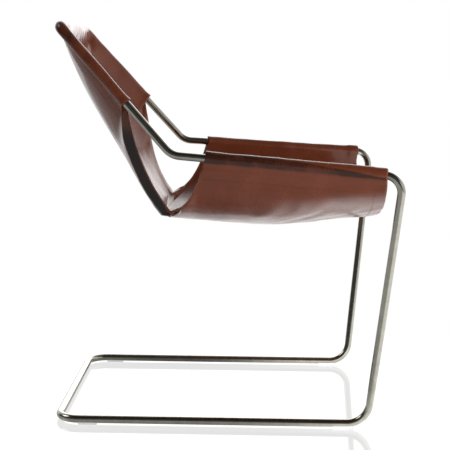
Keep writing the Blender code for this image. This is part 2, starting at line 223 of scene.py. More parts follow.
# Ripples of the hide: their heights, lengths and widths, where they lie and which draw of noise they take
WAVE_HEIGHT = 0.0011
WAVE_LENGTH = 0.085
DIMPLE_HEIGHT = 0.0005
DIMPLE_LENGTH = 0.030
SIDE_CREASE_HEIGHT = 0.0042
SIDE_CREASE_LENGTH = 0.130
SIDE_CREASE_WIDTH = 0.016
SIDE_CREASE_SLANT = math.radians(-28)
SIDE_CREASE_FRONT = (0.02, 0.16)
SIDE_CREASE_TOP = (0.455, 0.505)
SIDE_CREASE_OUT = (0.05, 0.16)
SIDE_CREASE_DRAW = 3.1
SIDE_HALF_WIDTH = 0.34
SIDE_FALL = 0.8
SEAT_CREASE_HEIGHT = 0.0009
SEAT_CREASE_LENGTH = 0.120
SEAT_CREASE_WIDTH = 0.014
SEAT_CREASE_REACH = (0.060, 0.070)
SEAT_CREASE_DRAW = 7.7
DRAG_HEIGHT = 0.0008
DRAG_LENGTH = 0.140
DRAG_WIDTH = 0.020
DRAG_RISE = (0.66, 0.80)
DRAG_DRAW = 1.3

# Sewing: the stitches, the point of a flap that they follow, and the point that a band's are square to
STITCH_PITCH = 0.0062
STITCH_SIZE = (0.0046, 0.0011, 0.0009)
STITCH_SEGMENTS = 6
STITCH_RINGS = 4
FLAP_STITCH_POINT = -3
BAND_MIDDLE = LIP_COLUMNS // 2

# Camera, fitted to the bar's corners in the picture's 450 pixel frame
PICTURE_SIZE = 450
FOCAL_PIXELS = 1177.08
SENSOR = 36
CAMERA_PLACE = (0.0467, -2.6853, 0.7634)
CAMERA_YAW = -0.0187
CAMERA_PITCH = -0.1364
CAMERA_ROLL = 0.0108

# Studio room: the directions of its backdrop and of the glows that the chair mirrors. A fade says where
# it starts and stops, and its levels there.
BACKDROP = (0.45, 0.85, 0.0)
BACKDROP_FADE = (-0.15, 0.35, 0.07, 1.0)
CEILING_FADE = (0.50, 0.75, 1.0, 0.30)
BACK_GLOW = (0.10, 0.94, 0.33)
BACK_GLOW_FADE = (0.80, 0.96, 0.0, 1.3)
SIDE_GLOW = (0.76, -0.64, 0.11)
SIDE_GLOW_FADE = (0.93, 0.99, 0.0, 0.85)
LAMP_GLINT = (-0.74, 0.05, 0.67)
LAMP_GLINT_FADE = (0.96, 0.99, 0.0, 3.0)

# Studio floor: its size, its white and gloss round the chair, and where the chair mirrors it lit or dark
FLOOR_RADIUS = 3.0
FLOOR_SIDES = 96
FLOOR_WHITE_FADE = (0.30, 0.85, 0.90, 1.0)
FLOOR_GLOSS_FADE = (0.48, 0.80, 0.20, 0.0)
FLOOR_LIT = (1.0, 0.35, 0.0)
FLOOR_LIT_FADE = (0.0, 0.28, 0.50, 1.25)
FLOOR_SHADE = (-0.12, 0.05, 0.0)
FLOOR_SHADE_FADE = (0.12, 0.38, 0.18, 1.0)
FLOOR_PATCH = (0.30, -0.05, 0.0)
FLOOR_PATCH_FADE = (0.05, 0.40, 1.3, 0.0)

# Studio lights: place, size and watts of each, and what they aim at
SOFT_BOXES = {
    "low_front_soft_box": ((0.10, -1.30, 0.30), 0.9, 3.4),
    "right_soft_box": ((1.9, -1.7, 0.9), 1.3, 36),
}
LIGHT_AIM = (0, -0.1, 0.48)


# Curves

def unit(vector):
    """The vector at length one."""
    return vector / np.linalg.norm(vector)


def ease(low, high, value):
    """Ease from 0 at low to 1 at high."""
    share = np.clip((value - low) / (high - low), 0, 1)
    return share * share * (3 - 2 * share)


def bezier(start, start_pull, end_pull, end):
    """A smooth curve between two points, drawn towards its two pulls."""
    t = np.linspace(0, 1, CURVE_STEPS + 1)[:, None]
    near, far = start + start_pull, end + end_pull
    return (1 - t) ** 3 * start + 3 * (1 - t) ** 2 * t * near + 3 * (1 - t) * t ** 2 * far + t ** 3 * end


def run_of(path):
    """Distance along a path to each of its points."""
    return np.concatenate(([0], np.cumsum(np.linalg.norm(np.diff(path, axis=0), axis=1))))


def along(path, marks):
    """Points at distances along a path."""
    run = run_of(path)
    return np.stack([np.interp(marks, run, axis) for axis in path.T], axis=-1)


def softened(path, count, radius):
    """Evenly spaced points along a path whose corners are eased over a radius."""
    total = run_of(path)[-1]
    marks = np.linspace(0, total, count + 1)
    reach = np.minimum(radius, np.minimum(marks, total - marks))
    shifts = np.linspace(-1, 1, SOFTENING_SAMPLES)
    return np.mean([along(path, marks + shift * reach) for shift in shifts], axis=0)


def bend(before, corner, after, radius):
    """Where a bend starts and ends, its centre, its axis and how far it turns."""
    towards, away = unit(before - corner), unit(after - corner)
    opening = math.acos(np.dot(towards, away))
    reach = radius / math.tan(opening / 2)
    return {
        "start": corner + towards * reach,
        "end": corner + away * reach,
        "centre": corner + unit(towards + away) * radius / math.sin(opening / 2),
        "axis": unit(np.cross(away, towards)),
        "turn": math.pi - opening,
        "reach": reach,
    }


def bend_points(turn, steps):
    """Points round a bend."""
    arm, axis = Vector(turn["start"] - turn["centre"]), Vector(turn["axis"])
    angles = np.linspace(0, turn["turn"], steps + 1)
    return np.array([turn["centre"] + np.array(Matrix.Rotation(angle, 3, axis) @ arm) for angle in angles])


# Materials

def linear(code):
    """Linear colour of an sRGB hex code."""
    shares = [int(code[place:place + 2], 16) / 255 for place in (1, 3, 5)]
    return [s / 12.92 if s <= 0.04045 else ((s + 0.055) / 1.055) ** 2.4 for s in shares] + [1.0]


def add_node(tree, kind, settings=None, values=None, links=None):
    """Add a node with its settings, its input values and the sockets that feed it."""
    node = tree.nodes.new(kind)
    for name, setting in (settings or {}).items():
        setattr(node, name, setting)
    for name, value in (values or {}).items():
        node.inputs[name].default_value = value
    for name, socket in (links or {}).items():
        tree.links.new(socket, node.inputs[name])
    return node


def new_material(name, **values):
    """A material with its shader's plain values set."""
    material = bpy.data.materials.new(name)
    material.use_nodes = True
    shader = material.node_tree.nodes["Principled BSDF"]
    for socket, value in values.items():
        shader.inputs[socket.replace("_", " ")].default_value = value
    return material, material.node_tree, shader


def colour_steps(tree, factor, *steps):
    """Colours blended along a factor, from pairs of place and hex code."""
    ramp = add_node(tree, "ShaderNodeValToRGB", links={"Fac": factor})
    while len(ramp.color_ramp.elements) < len(steps):
        ramp.color_ramp.elements.new(0.5)
    for element, (place, code) in zip(ramp.color_ramp.elements, steps):
        element.position = place
        element.color = linear(code)
    return ramp.outputs["Color"]


def glazed_leather(name, shade_colour, dark, middle, light, roughness):
    """Saddle leather, drum dyed and glazed: deep even colour that mirrors the room at low angles.

    Where its points carry painted shade, over the bar and down the bands, its colour is painted darker.
    """
    material, tree, shader = new_material(name, IOR=1.4, Coat_Weight=0.2, Coat_Roughness=0.10)
    place = {"Vector": add_node(tree, "ShaderNodeTexCoord").outputs["Object"]}
    # Dye clouds about 70 mm wide
    clouds = add_node(tree, "ShaderNodeTexNoise", {}, {"Scale": 1 / 0.070, "Detail": 5.0}, place)
    # Pores about 0.4 mm apart, drawn at 2.5 mm so that they show
    pores = add_node(tree, "ShaderNodeTexNoise", {}, {"Scale": 1 / 0.0025, "Detail": 2.0}, place)
    mixed = add_node(tree, "ShaderNodeMath", {"operation": "MULTIPLY_ADD"}, {1: 0.25}, {
        0: pores.outputs["Fac"], 2: clouds.outputs["Fac"]})
    # Painted shade noted on the points darkens the colour towards the shade colour
    painted_shade = add_node(tree, "ShaderNodeAttribute", {"attribute_name": "painted_shade"})
    shade = add_node(tree, "ShaderNodeMath", {"operation": "MULTIPLY_ADD"}, {1: -0.5}, {
        0: painted_shade.outputs["Fac"], 2: mixed.outputs[0]})
    colour = colour_steps(
        tree, shade.outputs[0], (0.10, shade_colour), (0.40, dark), (0.62, middle), (0.85, light))
    tree.links.new(colour, shader.inputs["Base Color"])
    rough = add_node(tree, "ShaderNodeMapRange", {}, {
        "From Min": 0.3, "From Max": 0.7, "To Min": roughness - 0.06, "To Max": roughness + 0.08}, {
        "Value": clouds.outputs["Fac"]})
    tree.links.new(rough.outputs[0], shader.inputs["Roughness"])
    # Grain cells about 1 mm wide, drawn at 3 mm so that they show
    grain = add_node(tree, "ShaderNodeTexVoronoi", {"feature": "SMOOTH_F1"}, {"Scale": 1 / 0.003}, place)
    # Soft creases about 24 mm wide
    creases = add_node(tree, "ShaderNodeTexNoise", {}, {
        "Scale": 1 / 0.024, "Detail": 2.0, "Distortion": 0.3}, place)
    height = add_node(tree, "ShaderNodeMath", {"operation": "MULTIPLY_ADD"}, {1: 0.07}, {
        0: grain.outputs["Distance"], 2: creases.outputs["Fac"]})
    bump = add_node(tree, "ShaderNodeBump", {}, {"Strength": 0.2, "Distance": 0.0012}, {
        "Height": height.outputs[0]})
    tree.links.new(bump.outputs[0], shader.inputs["Normal"])
    return material


def cut_edge():
    """The hide's cut edge, waxed and rubbed: packed fibre shows as a red tan line."""
    material, tree, shader = new_material("burnished_cut_edge", Roughness=0.45)
    place = {"Vector": add_node(tree, "ShaderNodeTexCoord").outputs["Object"]}
    # Fibre bundles about 1.5 mm wide
    fibres = add_node(tree, "ShaderNodeTexNoise", {}, {"Scale": 1 / 0.0015, "Detail": 3.0}, place)
    colour = colour_steps(tree, fibres.outputs["Fac"], (0.35, "#4a2012"), (0.65, "#7d4022"))
    tree.links.new(colour, shader.inputs["Base Color"])
    bump = add_node(tree, "ShaderNodeBump", {}, {"Strength": 0.3, "Distance": 0.0004}, {
        "Height": fibres.outputs["Fac"]})
    tree.links.new(bump.outputs[0], shader.inputs["Normal"])
    return material


def waxed_thread():
    """Waxed linen thread: dark brown, with a dull twist."""
    material, tree, shader = new_material("waxed_linen_thread", Roughness=0.6)
    place = {"Vector": add_node(tree, "ShaderNodeTexCoord").outputs["Object"]}
    # Twist about 0.8 mm long
    twist = add_node(tree, "ShaderNodeTexNoise", {}, {"Scale": 1 / 0.0008, "Detail": 1.0}, place)
    colour = colour_steps(tree, twist.outputs["Fac"], (0.35, "#472619"), (0.65, "#5b3222"))
    tree.links.new(colour, shader.inputs["Base Color"])
    return material


def polished_steel():
    """Stainless bar, belt polished: mirrors the room a little blurred, with fine polishing haze."""
    material, tree, shader = new_material("polished_stainless_steel", Metallic=1.0)
    place = {"Vector": add_node(tree, "ShaderNodeTexCoord").outputs["Object"]}
    # Polishing haze about 14 mm wide
    haze = add_node(tree, "ShaderNodeTexNoise", {}, {"Scale": 1 / 0.014, "Detail": 2.0}, place)
    colour = colour_steps(tree, haze.outputs["Fac"], (0.35, "#aaa79b"), (0.65, "#b7b5aa"))
    tree.links.new(colour, shader.inputs["Base Color"])
    rough = add_node(tree, "ShaderNodeMapRange", {}, {
        "From Min": 0.3, "From Max": 0.7, "To Min": 0.13, "To Max": 0.17}, {"Value": haze.outputs["Fac"]})
    tree.links.new(rough.outputs[0], shader.inputs["Roughness"])
    return material


def clear_vinyl():
    """Moulded soft vinyl: water clear, so that the glides hardly show, with a faint milky flow in it."""
    material, tree, shader = new_material("clear_soft_vinyl", IOR=1.4, Transmission_Weight=1.0)
    place = {"Vector": add_node(tree, "ShaderNodeTexCoord").outputs["Object"]}
    # Flow marks about 6 mm wide
    flow = add_node(tree, "ShaderNodeTexNoise", {}, {"Scale": 1 / 0.006, "Detail": 2.0}, place)
    colour = colour_steps(tree, flow.outputs["Fac"], (0.3, "#f2f4f2"), (0.7, "#ffffff"))
    tree.links.new(colour, shader.inputs["Base Color"])
    rough = add_node(tree, "ShaderNodeMapRange", {}, {"To Min": 0.02, "To Max": 0.08}, {
        "Value": flow.outputs["Fac"]})
    tree.links.new(rough.outputs[0], shader.inputs["Roughness"])
    return material


# Modelling helpers

def select_only(item):
    """Make an object the only selected one, and the active one."""
    bpy.ops.object.select_all(action="DESELECT")
    bpy.context.view_layer.objects.active = item
    item.select_set(True)


def new_piece(name, shape, *finishes):
    """An object made of a shape, which is used up."""
    mesh = bpy.data.meshes.new(name)
    shape.to_mesh(mesh)
    shape.free()
    item = bpy.data.objects.new(name, mesh)
    bpy.context.scene.collection.objects.link(item)
    for finish in finishes:
        mesh.materials.append(finish)
    return item


def note_painted_shade(item, values):
    """Note how much painted shade each point of a piece gets, for its leather."""
    item.data.attributes.new("painted_shade", "FLOAT", "POINT").data.foreach_set("value", values)


def thicken(item, thickness, side):
    """Give a sheet its thickness on one side, with its cut edges in its second material."""
    ply = item.modifiers.new("thickness", "SOLIDIFY")
    ply.thickness = thickness
    ply.offset = side
    ply.material_offset_rim = 1
    return ply


def rub_edges(item, width):
    """Round the sharp edges of an object over a width, then apply its modifiers and shade it smooth."""
    rounding = item.modifiers.new("rubbed edges", "BEVEL")
    rounding.width = width
    rounding.segments = RUB_STEPS
    rounding.limit_method = "ANGLE"
    rounding.angle_limit = SHARP_EDGE
    rounding.use_clamp_overlap = False
    select_only(item)
    for modifier in list(item.modifiers):
        bpy.ops.object.modifier_apply(modifier=modifier.name)
    bpy.ops.object.shade_smooth_by_angle(angle=SMOOTH_EDGE)


# Steel bar

def draw_out(here, there):
    """Draw the bar's open end out straight to a place, in short steps."""
    steps = max(1, round(np.linalg.norm(there - here) / DRAW_STEP))
    for _ in range(steps):
        bpy.ops.mesh.extrude_region_move(TRANSFORM_OT_translate={"value": (there - here) / steps})


def steel_bar(finish):
    """The bar, drawn out and bent round from a ring in the middle of the rear until it closes."""
    corners = CORNERS + [corner * (1, -1, 1) for corner in CORNERS[::-1]]
    radii = BENDS + BENDS[::-1]
    middle = REAR_BASE * TO_MIDDLE
    bpy.ops.object.select_all(action="DESELECT")
    bpy.ops.mesh.primitive_circle_add(
        vertices=BAR_SIDES, radius=BAR_RADIUS, location=middle, rotation=(math.pi / 2, 0, 0))
    bar = bpy.context.object
    bar.name = "bent_steel_bar"
    bpy.ops.object.transform_apply()
    bpy.ops.object.mode_set(mode="EDIT")
    bpy.ops.mesh.select_all(action="SELECT")
    here = middle
    for before, corner, after, radius in zip(
            [middle] + corners[:-1], corners, corners[1:] + [middle], radii):
        turn = bend(before, corner, after, radius)
        draw_out(here, turn["start"])
        # Spin turns the other way round its axis
        bpy.ops.mesh.spin(steps=BEND_STEPS, angle=turn["turn"], center=turn["centre"], axis=-turn["axis"])
        here = turn["end"]
    draw_out(here, middle)
    bpy.ops.mesh.select_all(action="SELECT")
    bpy.ops.mesh.remove_doubles(threshold=WELD_GAP)
    bpy.ops.mesh.normals_make_consistent(inside=False)
    bpy.ops.object.mode_set(mode="OBJECT")
    bpy.ops.object.shade_smooth()
    bar.data.materials.append(finish)
    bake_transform(bar)
    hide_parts("base_bar", "leg_flex_left", "leg_flex_right", "upper_bar")


# Sling: lines that it follows, each on the left side or mirrored to it

REARWARD = unit(np.cross(BACK_TOP - ARM_REAR, ACROSS))
FORWARD = -REARWARD
ARM_RUN = unit(ARM_FRONT - ARM_REAR)
ARM_OUT = unit(np.cross(UP, ARM_RUN))
TOP_BEND = bend(ARM_REAR, BACK_TOP, BACK_TOP * TO_MIDDLE, BENDS[-1])
TOP_BEND_RUN = TOP_BEND["turn"] * BENDS[-1]
ARM_SLEEVE_FRONT = bend(FOOT, ARM_FRONT, ARM_REAR, BENDS[2])["end"] + ARM_RUN * ARM_SLEEVE_LAP


def held_back(side):
    """Bar points from the top bend down to the sleeve's end, their outward axes, and the seam."""
    low = ARM_REAR + unit(BACK_TOP - ARM_REAR) * BACK_SLEEVE_LOW[side]
    path = np.vstack([low, bend_points(TOP_BEND, CORNER_STEPS)])[::-1]
    share = np.linspace(0, 1, HELD_BACK_ROWS + 1)
    axis = along(path, share * run_of(path)[-1])
    outward = np.array([unit(np.cross(heading, REARWARD)) for heading in np.gradient(axis, axis=0)])
    rear = BACK_SEAM_REAR + BACK_SEAM_LOW_EXTRA * share ** 3 + BACK_SEAM_TOP_EXTRA * (1 - share) ** 2
    seam = axis - outward * BACK_SEAM_IN + REARWARD * rear[:, None]
    return axis, outward, seam


def held_arm(side):
    """Bar points from the rear of an arm sleeve to its front, the last ones in the hem, and the seam."""
    path = np.array([ARM_REAR + ARM_RUN * ARM_SLEEVE_REAR[side], ARM_SLEEVE_FRONT])
    total = run_of(path)[-1]
    hem = np.linspace(total - FRONT_HEM, total - FOLD_STEP / 2, HEM_ROWS + 1)
    axis = along(path, np.concatenate((np.linspace(0, hem[0], ARM_ROWS + 1), hem[1:])))
    return axis, axis + ARM_OUT * ARM_SEAM_OUT - UP * ARM_SEAM_DROP


def free_edge(side):
    """Free edge round the notch, from the back sleeve down to the foot and up to the arm sleeve."""
    axis, outward, _ = held_back(side)
    start = axis[-1] - outward[-1] * NOTCH_TOP_IN + REARWARD * NOTCH_TOP_REAR[side]
    down = bezier(start, NOTCH_BACK_PULL, NOTCH_FOOT_PULL, NOTCH_FOOT[side])
    up = bezier(NOTCH_FOOT[side], SEAT_FOOT_PULL, SEAT_TOP_PULL, held_arm(side)[1][0])
    down = along(down, np.linspace(0, run_of(down)[-1], FREE_BACK_ROWS + 1))
    up = along(up, np.linspace(0, run_of(up)[-1], FREE_SEAT_ROWS + 1))
    return np.vstack([down, up[1:]])


def lip_crease(side):
    """The crease along which the lip turns forward, beside each point of the free edge."""
    edge = free_edge(side)
    heading = np.gradient(edge, axis=0)
    heading /= np.linalg.norm(heading[:, [0, 2]], axis=1)[:, None]
    away = np.stack([heading[:, 2], np.zeros(len(edge)), -heading[:, 0]], axis=1)
    at_foot = (np.clip(heading[:, 0], 0, 1) ** 2)[:, None]
    depth = LIP[side] * (1 - (1 - FOOT_LIP_SHARE) * at_foot)
    offset = away * depth - ACROSS * (LIP_TUCK[side] + FOOT_TUCK * at_foot)
    first = held_back(side)[2][-1] - edge[0]
    share = run_of(edge) / run_of(edge)[FREE_BACK_ROWS]
    return edge + first + (offset - first) * ease(0, LIP_EASE, share)[:, None]


def middle_lines():
    """Middle lines of the back and of the seat."""
    inward = np.cross(-ACROSS, REARWARD)
    rear = BACK_SEAM_REAR + BACK_SEAM_TOP_EXTRA
    start = BACK_TOP * TO_MIDDLE + inward * BACK_SEAM_IN + REARWARD * rear
    back = bezier(start, TOP_PULL, CREASE_RUN * CREASE_BACK_PULL, CREASE)
    front = ARM_SLEEVE_FRONT * TO_MIDDLE - UP * FRONT_DROP
    low = front + LOW_FROM_FRONT
    rear_half = bezier(CREASE, CREASE_RUN * CREASE_SEAT_PULL, LOW_REAR_PULL, low)
    return back, np.vstack([rear_half[:-1], bezier(low, LOW_FRONT_PULL, FRONT_PULL, front)])


def middle_points():
    """A point of the middle line for each row, set out from the mean of the two sides."""
    back, seat = middle_lines()
    back_edge = np.mean([
        np.vstack([held_back(side)[2], lip_crease(side)[1:FREE_BACK_ROWS + 1]]) for side in SIDES], axis=0)
    seat_edge = np.mean([
        np.vstack([free_edge(side)[FREE_BACK_ROWS:], held_arm(side)[1][1:]]) for side in SIDES], axis=0)
    share = run_of(back_edge) / run_of(back_edge)[-1]
    back_points = along(back, (1 - (1 - share) ** ROW_GATHER) * run_of(back)[-1])
    run = run_of(seat_edge)
    hem_start = run[-1 - HEM_ROWS]
    gathered = np.minimum(run / hem_start, 1) ** ROW_GATHER * (run_of(seat)[-1] - FRONT_HEM)
    return np.vstack([back_points, along(seat, gathered + np.maximum(run - hem_start, 0))[1:]])


# Sling: half of it as rows of points from the middle to the edge

def section(middle, edge, roundness):
    """Half a cross section from the middle to an edge, between a parabola and an ellipse."""
    share = np.linspace(0, 1, SECTION_STEPS + 1)
    quarter = share * math.pi / 2
    spread = (1 - roundness) * share + roundness * np.sin(quarter)
    climb = (1 - roundness) * share ** 2 + roundness * (1 - np.cos(quarter))
    points = middle + np.outer(climb, edge - middle)
    points[:, 1] = edge[1] * spread
    return points


def set_out(path, lip):
    """Points along a row, with the last columns on the lip."""
    total = run_of(path)[-1]
    panel_marks = np.linspace(0, total - lip, HALF_COLUMNS + 1)
    return along(path, np.concatenate((panel_marks, np.linspace(total - lip, total, LIP_COLUMNS + 1)[1:])))


def free_row(middle, crease, edge, softness, creased_share):
    """A row that ends at the free edge, with as much of the lip's crease as it still has there."""
    lip = np.linalg.norm(edge - crease)
    lip += (EDGE_COLUMN_RUN - lip) * (1 - creased_share)
    smooth = set_out(section(middle, edge, SEAT_ROUNDNESS), lip)
    creased = softened(np.vstack([section(middle, crease, BACK_ROUNDNESS), edge]), ROW_SAMPLES, softness)
    return smooth + (set_out(creased, lip) - smooth) * creased_share


def half_rows(side):
    """Half of the hide, mirrored to the left."""
    middle = middle_points()
    seam = held_back(side)[2]
    edge, crease = free_edge(side), lip_crease(side)
    past_foot = run_of(edge) - run_of(edge)[FREE_BACK_ROWS]
    creased_shares = 1 - ease(0, LIP_FADE, past_foot)
    rows = []
    for start, point in zip(middle, seam):
        panel_part = softened(section(start, point, BACK_ROUNDNESS), HALF_COLUMNS, LIP_SOFTNESS)
        lip_part = point + np.outer(np.linspace(0, 1, LIP_COLUMNS + 1)[1:], edge[0] - point)
        rows.append(np.vstack([panel_part, lip_part]))
    for index in range(1, len(edge)):
        softness = LIP_SOFTNESS * min(1, index / LIP_SOFT_ROWS)
        start = middle[HELD_BACK_ROWS + index]
        rows.append(free_row(start, crease[index], edge[index], softness, creased_shares[index]))
    for start, point in zip(middle[len(rows):], held_arm(side)[1][1:]):
        rows.append(set_out(section(start, point, SEAT_ROUNDNESS), EDGE_COLUMN_RUN))
    return np.array(rows)


def wrap(axis, outward, forward, inside, ring, lift, landing, lap):
    """The hide from its seam round the bar and back onto the panel's inner face, where its flap is sewn.

    The panel's outer face is given from the seam inwards. Returned are the points, and the place and
    direction of a stitch on the panel's outer face.
    """
    across = np.stack([outward, forward])
    spots = along(inside, np.array([landing, landing + lap / 2, landing + lap]))
    ends = across @ (spots[0] - spots[2])
    inner = unit(np.array((-ends[1], ends[0]))) @ across
    thickness = FLAP_SKIVE + (1 - FLAP_SKIVE) * np.array((lap, lap / 2, 0)) / FLAP_SKIVE_RUN
    flap = spots + inner * (HIDE + PLY_GAP + HIDE * thickness)[:, None]
    centre = np.array((0, lift))
    start, land = across @ (inside[0] - axis) - centre, across @ (flap[0] - axis) - centre
    first = math.atan2(start[1], start[0]) + math.acos(min(1, ring / np.linalg.norm(start)))
    last = math.atan2(land[1], land[0]) - math.acos(min(1, ring / np.linalg.norm(land)))
    while last < first:
        last += 2 * math.pi
    angles = np.linspace(first, last, RING_POINTS)
    round_bar = axis + (centre + ring * np.stack([np.cos(angles), np.sin(angles)], axis=1)) @ across
    points = softened(np.vstack([inside[0], round_bar, flap]), WRAP_STEPS, WRAP_SOFTNESS)
    return points, (spots[1], -inner)


# Sling: the whole hide

class Hide:
    """The hide's outer face: its points and faces, its skiving and painted shade, and the lines that are
    sewn.
    """

    def __init__(self):
        """An empty hide."""
        self.points = []
        self.faces = []
        self.skived = []
        self.painted_shade = []
        # Lines sewn along points, sewn between pairs of points, and sewn at places beside them
        self.edge_lines = {}
        self.between = {}
        self.sewn = {}
        # Points that are smoothed
        self.eased = []

    def add(self, point, thickness=1.0, rubbed=0.0):
        """Add a point with its share of the thickness and of painted shade, and give its number."""
        self.points.append(tuple(point))
        self.skived.append(thickness)
        self.painted_shade.append(rubbed)
        return len(self.points) - 1

    def strip(self, grid):
        """Faces between the neighbouring lines of a grid of points."""
        for near, far in zip(grid, grid[1:]):
            for a, b, c, d in zip(near, near[1:], far[1:], far):
                self.faces.append((a, b, c, d))

    def add_wrap(self, first, points, sign, depth, shade_start, shade_end):
        """Add a wrap's points after its seam point: skived at the flap's end, with painted shade over the
        bar.
        """
        points = points * (1, sign, 1)
        run = run_of(points)
        thickness = FLAP_SKIVE + (1 - FLAP_SKIVE) * np.minimum((run[-1] - run) / FLAP_SKIVE_RUN, 1)
        # Painted shade over a run round the bar, faded in and out at its ends
        rubbed = ease(shade_start - PAINTED_SHADE_FADE, shade_start + PAINTED_SHADE_FADE, run)
        rubbed *= depth * (1 - ease(shade_end, shade_end + PAINTED_SHADE_FADE, run))
        self.painted_shade[first] = rubbed[0]
        return [first] + [self.add(*made) for made in zip(points[1:], thickness[1:], rubbed[1:])]


def panel(hide, halves):
    """Back and seat with the lips beside the notches, as rows of columns that run from right to left."""
    rows = []
    for row in range(len(halves["left"])):
        reach = HALF_COLUMNS if row < HELD_BACK_ROWS else ALL_COLUMNS
        columns = {0: hide.add(halves["left"][row][0])}
        for side, sign in SIDES.items():
            for column in range(1, reach + 1):
                columns[sign * column] = hide.add(halves[side][row][column] * (1, sign, 1))
        rows.append(columns)
    for near, far in zip(rows, rows[1:]):
        reach = min(max(near), max(far))
        for column in range(-reach, reach):
            hide.faces.append((near[column], near[column + 1], far[column + 1], far[column]))
    arm_start = HELD_BACK_ROWS + FREE_BACK_ROWS + FREE_SEAT_ROWS
    for row in rows[arm_start - EASE_REACH:arm_start + EASE_REACH + 1]:
        hide.eased += [row[column] for column in row if abs(column) <= HALF_COLUMNS]
    return rows


def back_flap(from_corner):
    """How far below the seam a back flap lands and laps, mitred towards the top corners."""
    reach = np.clip(from_corner - MITRE_GAP, CORNER_FLAP_REACH, BACK_FLAP_REACH) - BACK_SEAM_IN
    lap = min(FLAP_LAP, reach * CORNER_LAP_SHARE)
    return reach - lap, lap


def corner_ring(run):
    """Radius of the back sleeve at a distance from the end of the top bend."""
    return BACK_RING + CORNER_SWELL * np.exp(-((run - TOP_BEND_RUN / 2) / CORNER_SWELL_RUN) ** 2)


def upright_wrap(hide, half, rows, side):
    """The sleeve of an upright and of the bend above it."""
    sign = SIDES[side]
    axis, outward, seam = held_back(side)
    run = run_of(axis)
    ring = corner_ring(run) + MOUTH_FLARE * ease(run[-1] - MOUTH_LENGTH, run[-1], run)
    below = int(np.argmax(run > TOP_BEND_RUN))
    side_climb = half[below][HALF_COLUMNS] - half[below][HALF_COLUMNS - SLOPE_COLUMNS]
    side_slope = side_climb @ FORWARD / (side_climb @ outward[below])
    top_climb = half[0][0] - half[SLOPE_ROWS][0]
    top_slope = top_climb @ FORWARD / (top_climb @ outward[0])
    grid, stitches = [], []
    for row in range(HELD_BACK_ROWS + 1):
        inside = half[row][HALF_COLUMNS::-1]
        if row <= below:
            heading = unit(outward[row] + FORWARD * (top_slope + (side_slope - top_slope) * row / below))
            inside = np.array([seam[row], seam[row] - heading * BACK_FLAP_REACH])
        landing, lap = back_flap(run[row] - TOP_BEND_RUN + TOP_BEND["reach"])
        points, stitch = wrap(axis[row], outward[row], FORWARD, inside, ring[row], 0, landing, lap)
        seam_point = rows[row][sign * HALF_COLUMNS]
        grid.append(hide.add_wrap(seam_point, points, sign, BACK_PAINTED_SHADE_DEPTH, *BACK_PAINTED_SHADE))
        stitches.append([vector * (1, sign, 1) for vector in stitch])
    return grid, stitches


def top_wrap(hide, rows):
    """The pocket over the top bar between the bends."""
    up = np.cross(ACROSS, REARWARD)
    grid, stitches = [], []
    for column in range(HALF_COLUMNS - 1, -HALF_COLUMNS, -1):
        inside = np.array([hide.points[rows[row][column]] for row in range(TOP_REACH_ROWS)])
        axis = BACK_TOP * TO_MIDDLE + ACROSS * inside[0][1]
        from_corner = BACK_TOP[1] - abs(inside[0][1])
        landing, lap = back_flap(from_corner)
        ring = corner_ring(TOP_BEND["reach"] - from_corner)
        points, stitch = wrap(axis, up, FORWARD, inside, ring, 0, landing, lap)
        grid.append(hide.add_wrap(rows[0][column], points, 1, BACK_PAINTED_SHADE_DEPTH, *BACK_PAINTED_SHADE))
        stitches.append(stitch)
    return grid, stitches


def back_wrap(hide, halves, rows):
    """The sleeves of the uprights and the pocket over the top, in one run from left to right."""
    left, left_stitches = upright_wrap(hide, halves["left"], rows, "left")
    top, top_stitches = top_wrap(hide, rows)
    right, right_stitches = upright_wrap(hide, halves["right"], rows, "right")
    grid = left[::-1] + top + right
    hide.strip(grid)
    hide.edge_lines["back_flap"] = [made[FLAP_STITCH_POINT] for made in grid]
    hide.sewn["back_seam"] = left_stitches[::-1] + top_stitches + right_stitches


def arm_wrap(hide, half, rows, side):
    """The sleeve of an arm, wider at the front where the hem is folded into it."""
    sign = SIDES[side]
    axis, _ = held_arm(side)
    run = run_of(axis)
    first_row = len(half) - len(axis)
    hem_start = run[-1] - FRONT_HEM
    in_hem = ease(hem_start - HEM_RING_RUN, hem_start + HEM_RING_RUN, run)
    flare = ARM_MOUTH_FLARE * (1 - ease(0, MOUTH_LENGTH, run))
    slant = ARM_SLEEVE_SLANT * (1 - ease(0, ARM_SLANT_RUN, run))
    # Painted shade on the sleeve's outer side, narrowing to a thin line at the front
    shade_start, shade_end = ARM_PAINTED_SHADE
    shade_ends = np.interp(
        run / run[-1], (ARM_PAINTED_SHADE_FULL, 1), (shade_end, ARM_PAINTED_SHADE_FRONT))
    grid = []
    for index, spot in enumerate(axis):
        ring = ARM_RING[side] + (HEM_RING - ARM_RING[side]) * in_hem[index] + flare[index]
        inside = half[first_row + index][::-1]
        lift = ARM_LIFT[side] * (1 - in_hem[index])
        points, _ = wrap(spot, ARM_OUT, UP, inside, ring, lift, ARM_FLAP_DROP, FLAP_LAP)
        height = np.clip((points - points[0]) @ UP / ARM_SEAM_DROP, 0, 1)
        points = points + np.outer(height * slant[index], ARM_RUN)
        seam = rows[first_row + index][sign * ALL_COLUMNS]
        grid.append(hide.add_wrap(
            seam, points, sign, ARM_PAINTED_SHADE_DEPTH, shade_start, shade_ends[index]))
    hide.strip(grid)
    hide.edge_lines["arm_flap_" + side] = [made[FLAP_STITCH_POINT] for made in grid[:-HEM_ROWS - 1]]
    hide.between["arm_seam_" + side] = [
        [row[sign * HALF_COLUMNS], row[sign * (HALF_COLUMNS - 1)]] for row in rows[first_row:-HEM_ROWS - 1]]
    return grid


